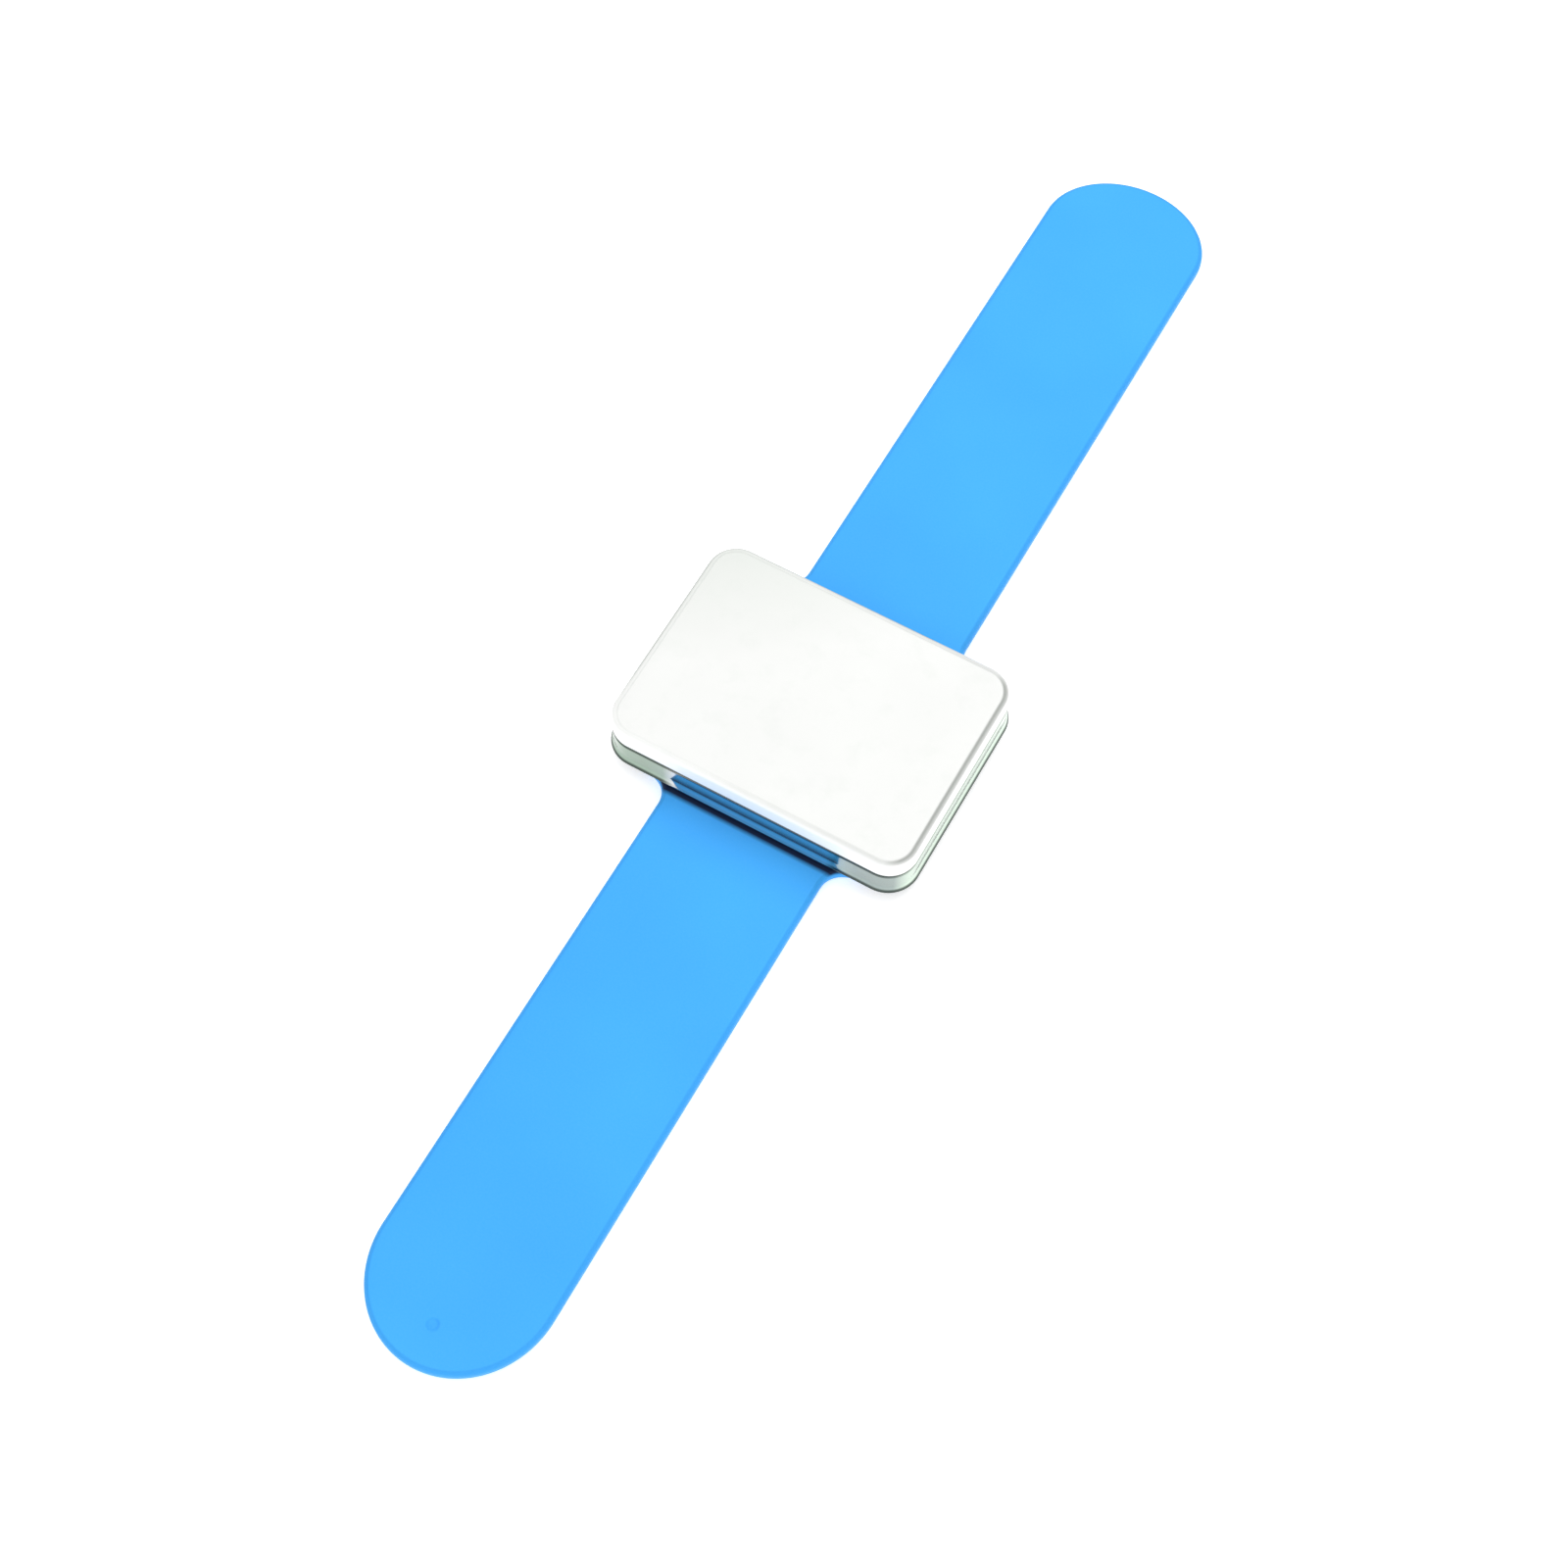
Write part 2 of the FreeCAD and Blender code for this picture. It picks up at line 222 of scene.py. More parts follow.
def pad_ribs(arm):
    """Ribs round the widening under the case and its fillet."""
    fillet_x = BAND_HALF + PAD_FILLET
    fillet_along = PAD_END[arm] + PAD_FILLET
    turn_x = fillet_x - PAD_FILLET * math.cos(PAD_SLOPE)
    turn_along = fillet_along - PAD_FILLET * math.sin(PAD_SLOPE)
    corner = (PAD_HALF - turn_x) / (1 - math.cos(PAD_SLOPE))
    corner_x = PAD_HALF - corner
    corner_along = turn_along - corner * math.sin(PAD_SLOPE)
    turns = [PAD_SLOPE * k / PAD_STEPS for k in range(PAD_STEPS + 1)]
    ribs = []
    for turn in turns[:-1]:
        c, s = math.cos(turn), math.sin(turn)
        ribs.append((corner_x + corner * c, corner_along + corner * s, c, s))
    for turn in reversed(turns):
        c, s = math.cos(turn), math.sin(turn)
        ribs.append((fillet_x - PAD_FILLET * c, fillet_along - PAD_FILLET * s, c, s))
    return ribs


def straight_ribs(half_width, start, end):
    """Ribs of a stretch with straight sides, both ends included."""
    steps = max(1, round((end - start) / RIB_SPACING))
    return [(half_width, start + (end - start) * k / steps, 1.0, 0.0) for k in range(steps + 1)]


def ellipse_ribs(arm):
    """Ribs round the half-ellipse at the end of an arm, down to a point."""
    depth = BAND_REACH[arm] - TIP_START[arm]
    ribs = []
    for k in range(1, TIP_RIBS + 1):
        turn = math.pi / 2 * k / TIP_RIBS
        c, s = math.cos(turn), math.sin(turn)
        length = math.hypot(c / BAND_HALF, s / depth)
        place = (BAND_HALF * c, TIP_START[arm] + depth * s)
        ribs.append((*place, c / BAND_HALF / length, s / depth / length))
    return ribs


def sleeve_ribs(arm, start, end):
    """Ribs of the sleeve from start to end. Its sides are straight at both places."""
    pad = pad_ribs(arm)
    pad_start, pad_finish = pad[0][1], pad[-1][1]
    ribs = []
    if start < pad_start - TONGUE_STEP:
        ribs += straight_ribs(PAD_HALF, start, min(end, pad_start))
    if start < pad_finish < end:
        ribs += pad if not ribs else pad[1:]
    if end > pad_finish:
        straight = straight_ribs(BAND_HALF, max(start, pad_finish), min(end, TIP_START[arm]))
        ribs += straight if not ribs else straight[1:]
    if end > TIP_START[arm]:
        ribs += ellipse_ribs(arm)
    return ribs


def strip_ribs(arm, start, end):
    """Ribs of the spring strip from start to end, with the round corners of its tip."""
    half = STRIP_HIGH.x
    if end < STRIP_REACH[arm]:
        return straight_ribs(half, start, end)
    ribs = straight_ribs(half, start, end - STRIP_CORNER)
    for k in range(1, CORNER_STEPS + 1):
        turn = math.pi / 2 * k / CORNER_STEPS
        c, s = math.cos(turn), math.sin(turn)
        place = (half - STRIP_CORNER * (1 - c), end - STRIP_CORNER * (1 - s))
        ribs.append((*place, c, s))
    return ribs


# Skins


def section(rib, side, low, high, rim, columns, inset=0.0):
    """One closed loop round a flat plate at a rib. columns are shares of the width, -1 to 1."""
    x, along, across_normal, along_normal = rib
    quarter = [math.pi / 2 * k / RIM_STEPS for k in range(RIM_STEPS)]
    edge = rim + inset

    def rim_point(hand, turn, centre_z):
        reach = edge - rim * math.cos(turn)
        place = x - reach * across_normal, along - reach * along_normal
        return hand * max(place[0], 0.0), side * place[1], centre_z + rim * math.sin(turn)

    def row(shares, z):
        half = max(x - edge * across_normal, 0.0)
        return [(half * share, side * (along - edge * along_normal), z) for share in shares]

    upper, lower = high - edge, low + edge
    return (
        row(columns, high - inset)
        + [rim_point(1, turn, upper) for turn in reversed(quarter)]
        + [rim_point(1, -turn, lower) for turn in quarter]
        + row(reversed(columns), low + inset)
        + [rim_point(-1, -turn, lower) for turn in reversed(quarter)]
        + [rim_point(-1, turn, upper) for turn in quarter]
    )


def rim_values(columns, loops):
    """For every point, 0 on the two faces and 1 on the rims."""
    half_loop = [0.0] * len(columns) + [1.0] * (2 * RIM_STEPS)
    return (half_loop + half_loop) * loops


def even_columns(count):
    """Columns at even steps across the band."""
    return [-1 + 2 * k / count for k in range(count + 1)]


def gate_columns():
    """Columns that crowd together in the middle, where the gate's mark is."""
    coarse = [k / 8 for k in range(8, 1, -1)]
    fine = [k / 100 for k in range(18, 0, -1)]
    right = coarse + fine
    return [-share for share in right] + [0.0] + right[::-1]


def press_gate(point):
    """Sink a point of the front tip's upper face into the round mark of the gate."""
    x, y, z = point
    if z < BAND_HIGH.z - TOLERANCE:
        return point
    distance = math.hypot(x, y + BAND_REACH["front"] - GATE_FROM_TIP)
    share = min(max((GATE_RADIUS + GATE_SOFTNESS - distance) / (2 * GATE_SOFTNESS), 0), 1)
    return x, y, z - GATE_DEPTH * share * share * (3 - 2 * share)


def tongue_ribs(rib, away=1):
    """Both ribs of the tongue past a skin's end, which hides the joint with the next skin."""
    x, along, *normal = rib
    return [(x, along, *normal), (x, along + away * TONGUE, *normal)]


def skin_loops(ribs, side, plate, columns, with_tongue):
    """Loops of one skin. plate is (low, high, rim)."""
    loops = [section(rib, side, *plate, columns) for rib in ribs]
    if with_tongue:
        for rib in tongue_ribs(ribs[-1]):
            loops.append(section(rib, side, *plate, columns, inset=TONGUE_STEP))
    return loops


def build_skin(name, loops, columns, material, seams, pressed=False):
    """A skin from its loops. Shading breaks at its seams, which are places along Y."""
    points, faces = loft(loops)
    values = rim_values(columns, len(loops))
    points, faces, values = merge_points(points, faces, values)
    if pressed:
        points = [press_gate(point) for point in points]
    piece = new_piece(name, points, faces, material, {"rim": values})
    mark_sharp(piece, seams)
    return piece


def inverse_smoothstep(value):
    """Where a smoothstep from 0 to 1 reaches a value."""
    return 0.5 - math.sin(math.asin(1 - 2 * value) / 3)


def seam_places(arm):
    """Where the skins of an arm meet: half-way between hinge lines, clear of the pad's fillet."""
    pad = pad_ribs(arm)
    seams = [hinge["along"] - PITCH / 2 for hinge in CHAINS[arm]]
    seams[0] = min(seams[0], pad[0][1])
    seams[1] = max(seams[1], pad[-1][1] + RIB_SPACING)
    return seams


def blend_reach(arm, number, seams):
    """Start and end of a skin's blend, so that curled skins meet in position and direction.

    At a seam a skin is still to turn by lag, the angle between the link and the arc through
    the hinge lines. The centre does not bend, and the tip is straight past one more pitch.
    """
    chain = CHAINS[arm]
    hinge = chain[number]

    def lag(neighbour, seam):
        mean_bend = (hinge["bend"] + neighbour["bend"]) / 2
        share = FIRST_SHARE if seam == seams[1] else ARC_SHARE
        return share * abs(neighbour["along"] - seam) * mean_bend / (2 * PITCH)

    near, near_share = hinge["along"] - PITCH / 2, 0.0
    if number > 0:
        near = seams[number]
        near_share = inverse_smoothstep(lag(chain[number - 1], near) / hinge["bend"])
    far, far_share = hinge["along"] + PITCH, 1.0
    if number < len(chain) - 1:
        far = seams[number + 1]
        far_share = 1 - inverse_smoothstep(lag(chain[number + 1], far) / hinge["bend"])
    length = (far - near) / (far_share - near_share)
    start = near - near_share * length
    return start, start + length


def arm_skins(arm, kind, plate, material):
    """The skins of one arm's sleeve or strip, one across each hinge; the reach of each blend is
    worked out but not used.
    """
    side, chain, seams = ARMS[arm], CHAINS[arm], seam_places(arm)
    is_sleeve = kind == "sleeve"
    ribs_of, reach = (sleeve_ribs, BAND_REACH) if is_sleeve else (strip_ribs, STRIP_REACH)
    for number, hinge in enumerate(chain):
        is_tip = number == len(chain) - 1
        near = seams[number]
        far = reach[arm] if is_tip else seams[number + 1]
        pressed = is_sleeve and is_tip and arm == "front"
        columns = gate_columns() if pressed else even_columns(COLUMNS)
        loops = skin_loops(ribs_of(arm, near, far), side, plate, columns, not is_tip)
        ends = [side * near] if is_tip else [side * near, side * far, side * (far + TONGUE)]
        name = f"{kind}_skin_{hinge['child']}"
        piece = build_skin(name, loops, columns, material, ends, pressed)
        start, end = blend_reach(arm, number, seams)
        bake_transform(piece)
        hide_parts(f"{kind}_{hinge['child']}")


def centre_skin(kind, plate, material):
    """The skin that stays flat under the case."""
    front, rear = seam_places("front")[0], seam_places("rear")[0]
    half = PAD_HALF if kind == "sleeve" else STRIP_HIGH.x
    columns = even_columns(COLUMNS)
    ribs = straight_ribs(half, -front, rear)
    inner = [section(rib, 1, *plate, columns) for rib in ribs]
    rear_tongue = [
        section(rib, 1, *plate, columns, inset=TONGUE_STEP) for rib in tongue_ribs(ribs[-1])
    ]
    front_tongue = [
        section(rib, 1, *plate, columns, inset=TONGUE_STEP) for rib in tongue_ribs(ribs[0], -1)
    ]
    loops = front_tongue[::-1] + inner + rear_tongue
    ends = [-front - TONGUE, -front, rear, rear + TONGUE]
    piece = build_skin(f"{kind}_skin_centre", loops, columns, material, ends)
    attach(piece, "centre")
    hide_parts(f"{kind}_centre")


# The case and what it holds


CASE_LOW, CASE_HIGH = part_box("case_lid")
BASE_LOW, BASE_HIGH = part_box("case_base")
CASE_HALF_X, CASE_HALF_Y = CASE_HIGH.x, CASE_HIGH.y
CASE_CORNER = 5.0 * MM
SHEET = 0.4 * MM
FOOT_OUTSET = 0.5 * MM
FOOT_THICK = 0.5 * MM
FLARE = 1.9 * MM  # height over which the wall of the base spreads to its foot
FLARE_UNSHADED = 0.6  # share of the flare without painted shade, from its top down
FLARE_FADE = 0.2  # share of it over which the painted shade of the foot sets in
NECK_INSET = 0.5 * MM
WALL_TOP = CASE_LOW.z - 0.25 * MM
WALL_CORNER = 0.5 * MM
WALL_LINE = 0.15 * MM  # how far the painted shade under the wall's top corner fades
SHOULDER = 0.7 * MM
PANEL_RISE = 0.15 * MM
PANEL_STEP = 0.4 * MM  # width of the step round the lid's panel
PANEL_INSET = 0.95 * MM
PANEL_FLAT = 0.3 * MM  # spacing of the loops inside the panel's step
STEP_INSIDE = 0.6  # share of the panel's step that lies inside its inset
HEM = 0.15 * MM
HEM_LINE = 0.4 * MM  # how far up the skirt the painted shade at its hem fades
FLOOR_RIM = 1 * MM  # width of the base's floor next to its wall
SWELL_SIZE = 4 * MM  # size of the uneven swelling of soft blocks
SWELL_BIAS = 0.4  # turns most of the swelling inwards
SIDE_STEPS = 10
FOAM_SHAPE = {"rounding": 0.5 * MM, "corner": 1.2 * MM, "swelling": 0.01}
PAD_SHAPE = {"rounding": 0.1 * MM, "corner": 2 * MM, "swelling": 0.015}


def rounded_outline(half_x, half_y, corner, inset, z):
    """One loop round a rectangle with round corners, moved inwards by inset."""
    loop = []
    for turn in range(4):
        heading = turn * math.pi / 2
        sign_x = 1 if turn in (0, 3) else -1
        sign_y = 1 if turn in (0, 1) else -1
        centre_x, centre_y = sign_x * (half_x - corner), sign_y * (half_y - corner)
        for k in range(CORNER_STEPS + 1):
            angle = heading + math.pi / 2 * k / CORNER_STEPS
            c, s = math.cos(angle), math.sin(angle)
            reach = corner - inset
            loop.append((centre_x + reach * c, centre_y + reach * s, z))
        # the straight side to the next corner
        x, y, _ = loop[-1]
        run = 2 * (half_x - corner) if turn % 2 == 0 else 2 * (half_y - corner)
        step_x, step_y = ((-1, 0), (0, -1), (1, 0), (0, 1))[turn]
        for k in range(1, SIDE_STEPS):
            gone = run * k / SIDE_STEPS
            loop.append((x + step_x * gone, y + step_y * gone, z))
    return loop


def swept_shell(name, profile, material):
    """A closed shell from a profile of (inset, height, painted shade) swept round the case's
    outline.
    """
    size = CASE_HALF_X, CASE_HALF_Y, CASE_CORNER
    loops = [rounded_outline(*size, inset, z) for inset, z, _ in profile]
    points, faces = loft(loops)
    painted_shade = [value for _, _, value in profile for _ in loops[0]]
    return new_piece(name, points, faces, material, {"painted_shade": painted_shade})


def arc(centre_inset, centre_z, radius, first, last, steps, painted_shade=(0.0, 0.0)):
    """Profile points round an arc. Angles in degrees, 0 points outwards and 90 points up."""
    points = []
    for k in range(steps + 1):
        share = k / steps
        angle = math.radians(first + (last - first) * share)
        inset = centre_inset - radius * math.cos(angle)
        height = centre_z + radius * math.sin(angle)
        points.append((inset, height, painted_shade[0] + (painted_shade[1] - painted_shade[0]) * share))
    return points


def lid_profile():
    """From the middle of the panel, over the shoulder, round the hem and back inside."""
    top, ledge, foot = CASE_HIGH.z, CASE_HIGH.z - PANEL_RISE, CASE_LOW.z
    steps = 8
    # the third value of each point is painted shade: in the panel's step, on the shoulder, at the
    # hem and inside
    profile = [(PANEL_INSET + PANEL_FLAT * k, top, 0) for k in (2, 1)]
    for k in range(steps + 1):
        share = k / steps
        fall = share * share * (3 - 2 * share)
        inset = PANEL_INSET + PANEL_STEP * (STEP_INSIDE - share)
        profile.append((inset, top - PANEL_RISE * fall, fall))
    profile += arc(SHOULDER, ledge - SHOULDER, SHOULDER, 90, 45, 8, (1, 0.2))
    profile += arc(SHOULDER, ledge - SHOULDER, SHOULDER, 40, 0, 8)
    profile += [(0, foot + HEM_LINE, 0)]
    profile += arc(HEM, foot + HEM, HEM, 0, -90, 5, (0.6, 1))
    profile += [(SHEET, foot, 1), (SHEET, ledge - SHEET, 1), (SHEET + SHOULDER, ledge - SHEET, 1)]
    return profile


def base_profile():
    """From the floor inside, over the neck, down the wall and its flare, and round the foot."""
    low, neck = BASE_LOW.z, BASE_HIGH.z
    inner = NECK_INSET + SHEET
    foot = FOOT_THICK / 2
    # the third value of each point is painted shade: inside, under the seam and round the foot
    profile = [(inner + FLOOR_RIM, low + SHEET, 1), (inner, low + SHEET, 1), (inner, neck, 1)]
    profile += [(NECK_INSET, neck, 1), (NECK_INSET, WALL_TOP, 1)]
    profile += arc(WALL_CORNER, WALL_TOP - WALL_CORNER, WALL_CORNER, 90, 0, 6, (1, 0.8))
    profile += [(0, WALL_TOP - WALL_CORNER - WALL_LINE, 0)]
    steps = 10
    for k in range(steps + 1):
        share = k / steps
        height = low + FLARE + (foot - FLARE) * share
        painted_shade = min(max(0, (share - FLARE_UNSHADED) / FLARE_FADE), 1)
        profile.append((-FOOT_OUTSET * share**2, height, painted_shade))
    profile += arc(foot - FOOT_OUTSET, low + foot, foot, -15, -90, 7, (0.9, 1))
    profile += [(SHEET / 2, low, 1), (FLOOR_RIM, low, 1)]
    return profile


def soft_block(name, node, material, rounding, corner, swelling):
    """A soft block in place of a CAD one, with round edges and sides that swell unevenly."""
    low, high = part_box(node)
    half_x, half_y = (high.x - low.x) / 2, (high.y - low.y) / 2
    middle_x, middle_y = (high.x + low.x) / 2, (high.y + low.y) / 2
    profile = [(rounding * 3, low.z, 0)]
    profile += arc(rounding, low.z + rounding, rounding, -90, 0, 5)
    profile += arc(rounding, high.z - rounding, rounding, 0, 90, 5)
    profile += [(rounding * 3, high.z, 0)]
    loops = [rounded_outline(half_x, half_y, corner, inset, z) for inset, z, _ in profile]
    moved = []
    for loop in loops:
        ring = []
        for x, y, z in loop:
            swell = 1 + swelling * (noise.noise(Vector((x, y, z)) / SWELL_SIZE) - SWELL_BIAS)
            ring.append((middle_x + x * swell, middle_y + y * swell, z))
        moved.append(ring)
    points, faces = loft(moved)
    return new_piece(name, points, faces, material, {"painted_shade": [0.0] * len(points)})


def build_case():
    """Both shells of the case, the adhesive pad and the foam, all on the centre body."""
    lid = swept_shell("lid_shell", lid_profile(), materials["lid_metal"])
    base = swept_shell("base_shell", base_profile(), materials["case_metal"])
    block = soft_block("foam_block", "foam_spacer", materials["foam"], **FOAM_SHAPE)
    sheet = soft_block("adhesive_sheet", "adhesive_pad", materials["adhesive"], **PAD_SHAPE)
    stands_for = {lid: "case_lid", base: "case_base", block: "foam_spacer", sheet: "adhesive_pad"}
    for piece, node in stands_for.items():
        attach(piece, "centre")
        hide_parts(node)


# Materials


def srgb(red, green, blue):
    """A linear colour with alpha from display levels of 0 to 255."""

    def linear(level):
        share = level / 255
        return share / 12.92 if share <= 0.04045 else ((share + 0.055) / 1.055) ** 2.4

    return (linear(red), linear(green), linear(blue), 1.0)


class Nodes:
    """Short ways to add nodes to one material. Numbers in it are shares, levels or 1 / metres."""

    def __init__(self, name):
        self.material = bpy.data.materials.new(name)
        self.material.use_nodes = True
        self.tree = self.material.node_tree
        self.surface = self.tree.nodes["Principled BSDF"]

    def add(self, kind, settings=None, **inputs):
        """A node with its settings. An input is a number, a colour or another node's output."""
        made = self.tree.nodes.new(f"ShaderNode{kind}")
        for name, setting in (settings or {}).items():
            setattr(made, name, setting)
        for name, value in inputs.items():
            self.join(made.inputs[name.replace("_", " ")], value)
        return made

    def join(self, socket, value):
        """Give a socket a fixed value or another node's output."""
        if isinstance(value, bpy.types.NodeSocket):
            self.tree.links.new(value, socket)
        else:
            socket.default_value = value

    def set(self, **inputs):
        """Inputs of the material's Principled shader."""
        for name, value in inputs.items():
            self.join(self.surface.inputs[name.replace("_", " ")], value)

    def places(self, bent):
        """Rest coordinates, from the piece's own record of them or from its object."""
        if bent:
            return self.add("Attribute", {"attribute_name": "rest"}).outputs["Vector"]
        return self.add("TexCoord").outputs["Object"]

    def axes(self, places):
        """The three coordinates of a place, each on its own."""
        return self.add("SeparateXYZ", Vector=places).outputs

    def stretched(self, places, scale):
        """Places scaled by its own factor along each axis."""
        return self.add("Mapping", Vector=places, Scale=scale).outputs["Vector"]

    def noise(self, places, scale, detail=3.0, roughness=0.5):
        """Noise from 0 to 1, with features about 1 / scale metres wide."""
        made = self.add("TexNoise", Vector=places, Scale=scale, Detail=detail, Roughness=roughness)
        return made.outputs["Fac"]

    def spread(self, value, low, high, new_low=0.0, new_high=1.0):
        """A value moved from one range to another, and kept inside it."""
        made = self.add("MapRange", Value=value)
        for name, limit in (
            ("From Min", low),
            ("From Max", high),
            ("To Min", new_low),
            ("To Max", new_high),
        ):
            made.inputs[name].default_value = limit
        return made.outputs["Result"]

    def math(self, operation, *numbers):
        """The result of one Math node."""
        made = self.add("Math", {"operation": operation})
        for socket, number in zip(made.inputs, numbers):
            self.join(socket, number)
        return made.outputs["Value"]

    def mix(self, share, first, second, blend="MIX"):
        """Two colours mixed by share."""
        made = self.add("Mix", {"data_type": "RGBA", "blend_type": blend})
        self.join(made.inputs[0], share)
        self.join(made.inputs[6], first)
        self.join(made.inputs[7], second)
        return made.outputs[2]

    def value_of(self, attribute):
        """A value that the mesh holds for each point."""
        return self.add("Attribute", {"attribute_name": attribute}).outputs["Fac"]

    def bump(self, height, distance, strength=1.0, under=None):
        """Normals bumped by a height, over another bump where one is given."""
        made = self.add("Bump", Height=height, Distance=distance, Strength=strength)
        if under is not None:
            self.join(made.inputs["Normal"], under)
        return made.outputs["Normal"]


FOOT_SHADE = (0.5 * MM, 1.35 * MM)  # past the base, where the painted contact shadow on the sleeve fades out


def silicone(name, bent):
    """Matte moulded silicone: clouding, a fine grain, smoother rims with painted shade, and a
    painted contact shadow past the foot of the case.
    """
    n = Nodes(name)
    places = n.places(bent)
    clouds = n.noise(places, 28, 2)
    grain = n.noise(places, 2600, 3, 0.6)
    deep, light = srgb(60, 166, 249), srgb(65, 173, 252)
    colour = n.mix(n.spread(clouds, 0.3, 0.7), deep, light)
    colour = n.mix(n.spread(grain, 0.35, 0.75, 0, 0.05), colour, srgb(140, 208, 255))
    # painted shade: the rims are mixed towards a darker blue
    colour = n.mix(n.math("MULTIPLY", n.value_of("rim"), 0.45), colour, srgb(40, 140, 212))
    # painted contact shadow: the upper face is mixed to near black just past the base's wall
    _, along, height = n.axes(places)
    past_case = n.math("SUBTRACT", n.math("ABSOLUTE", along), BASE_HIGH.y)
    foot = n.spread(past_case, *FOOT_SHADE, 1, 0)
    upper = n.spread(height, BAND_HIGH.z - 0.6 * MM, BAND_HIGH.z - 0.2 * MM)
    colour = n.mix(n.math("MULTIPLY", foot, upper), colour, srgb(2, 26, 60))
    n.set(Base_Color=colour)
    smears = n.noise(places, 60, 4, 0.65)
    worn = n.math("MULTIPLY", n.value_of("rim"), -0.08)
    n.set(Roughness=n.math("ADD", n.spread(smears, 0.3, 0.75, 0.5, 0.64), worn))
    n.set(Specular_IOR_Level=0.28)
    soft = n.bump(n.noise(places, 90, 2), 0.05 * MM, 0.35)
    n.set(Normal=n.bump(grain, 0.012 * MM, 0.5, soft))
    return n.material


def satin_steel(name, bent):
    """The lid: pale satin steel with a fine grain along X and faint handling marks."""
    n = Nodes(name)
    places = n.places(bent)
    strokes = n.noise(n.stretched(places, (60, 1500, 400)), 1, 4, 0.6)
    clouds = n.noise(places, 70, 3)
    marks = n.noise(places, 160, 5, 0.7)
    across, along, height = n.axes(places)
    right = n.math("DIVIDE", across, CASE_HALF_X)
    front = n.math("DIVIDE", along, -CASE_HALF_Y)
    turned = n.math("ADD", right, front)
    colour = n.mix(n.spread(clouds, 0.3, 0.7), srgb(231, 232, 230), srgb(234, 235, 233))
    # painted shade: the lid darkens towards its rear-left corner
    colour = n.mix(n.spread(turned, -1.9, -0.6, 0.8, 0), colour, srgb(216, 220, 215))
    colour = n.mix(n.spread(marks, 0.5, 0.8, 0, 0.2), colour, srgb(206, 214, 206))
    shoulder = CASE_HIGH.z - PANEL_RISE
    below = n.spread(height, shoulder - 0.3 * MM, shoulder, 1, 0)
    colour = n.mix(below, colour, srgb(250, 250, 249))
    # painted shade: a grey line on the left and rear shoulder
    line = n.math("MULTIPLY", below, n.spread(height, shoulder - MM, shoulder - 0.8 * MM))
    painted_shoulder_shade = n.math("MULTIPLY", line, n.spread(turned, -0.6, -0.1, 1, 0))
    colour = n.mix(painted_shoulder_shade, colour, srgb(118, 128, 118))
    # painted shade in the panel's step and at the hem, most of all on the right
    shade_strength = n.math("ADD", n.spread(right, -0.4, 0.8, 0, 0.2), n.spread(right, 0.86, 0.94, 0, 0.45))
    shade_strength = n.math("MAXIMUM", shade_strength, n.spread(height, shoulder - 2 * MM, shoulder - MM, 0.8, 0))
    colour = n.mix(n.math("MULTIPLY", n.value_of("painted_shade"), shade_strength), colour, srgb(96, 104, 96))
    n.set(Base_Color=colour, Metallic=n.math("SUBTRACT", 0.3, n.math("MULTIPLY", below, 0.25)))
    rough = n.spread(clouds, 0.25, 0.75, 0.36, 0.44)
    n.set(Roughness=n.math("ADD", rough, n.spread(strokes, 0.3, 0.7, -0.03, 0.04)))
    n.set(Normal=n.bump(strokes, 0.004 * MM, 0.5))
    return n.material


def tin_plate(name, bent):
    """The base: bright pressed tin plate, slightly green, with faint drawing lines."""
    n = Nodes(name)
    places = n.places(bent)
    lines = n.noise(n.stretched(places, (90, 90, 1800)), 1, 3, 0.55)
    clouds = n.noise(places, 110, 3)
    across, along, height = n.axes(places)
    right = n.math("DIVIDE", across, CASE_HALF_X)
    # painted shade: the front wall is darker at its left end; painted light: it is brighter where
    # the band leaves the case
    at_front = n.spread(n.math("DIVIDE", along, -CASE_HALF_Y), 0.2, 0.8)
    over_band = n.spread(n.math("ABSOLUTE", across), BAND_HALF - MM, BAND_HALF + MM, 1, 0)
    over_band = n.math("MULTIPLY", over_band, at_front)
    painted_dark_end = n.math("MULTIPLY", n.spread(right, -0.7, -0.3, 1, 0), at_front)
    colour = n.mix(n.spread(clouds, 0.3, 0.7), srgb(168, 181, 170), srgb(177, 190, 179))
    colour = n.mix(painted_dark_end, colour, srgb(148, 166, 152))
    # painted shade and light: darker and bluer towards the right of the front wall, lighter on the
    # right wall
    colour = n.mix(n.spread(right, 0.55, 0.7), colour, srgb(152, 164, 161))
    colour = n.mix(n.spread(right, 0.93, 0.99), colour, srgb(202, 218, 204))
    colour = n.mix(over_band, colour, srgb(214, 214, 212))
    # painted shade under the seam and round the foot, less of it on the right and over the band
    upper = n.spread(height, WALL_TOP - 2 * MM, WALL_TOP - MM)
    unshaded_right = n.math("MULTIPLY", upper, n.spread(right, 0.86, 0.97, 0, 0.4))
    unshaded_foot = n.math("MULTIPLY", n.math("SUBTRACT", 0.6, upper), over_band)
    unshaded = n.math("MAXIMUM", unshaded_right, unshaded_foot)
    painted_shade = n.math("MULTIPLY", n.value_of("painted_shade"), n.math("SUBTRACT", 0.9, unshaded))
    colour = n.mix(painted_shade, colour, srgb(52, 60, 56))
    n.set(Base_Color=colour, Metallic=1.0)
    n.set(Roughness=n.spread(clouds, 0.25, 0.75, 0.09, 0.15))
    waves = n.bump(clouds, 0.02 * MM, 0.25)
    n.set(Normal=n.bump(lines, 0.003 * MM, 0.5, waves))
    return n.material


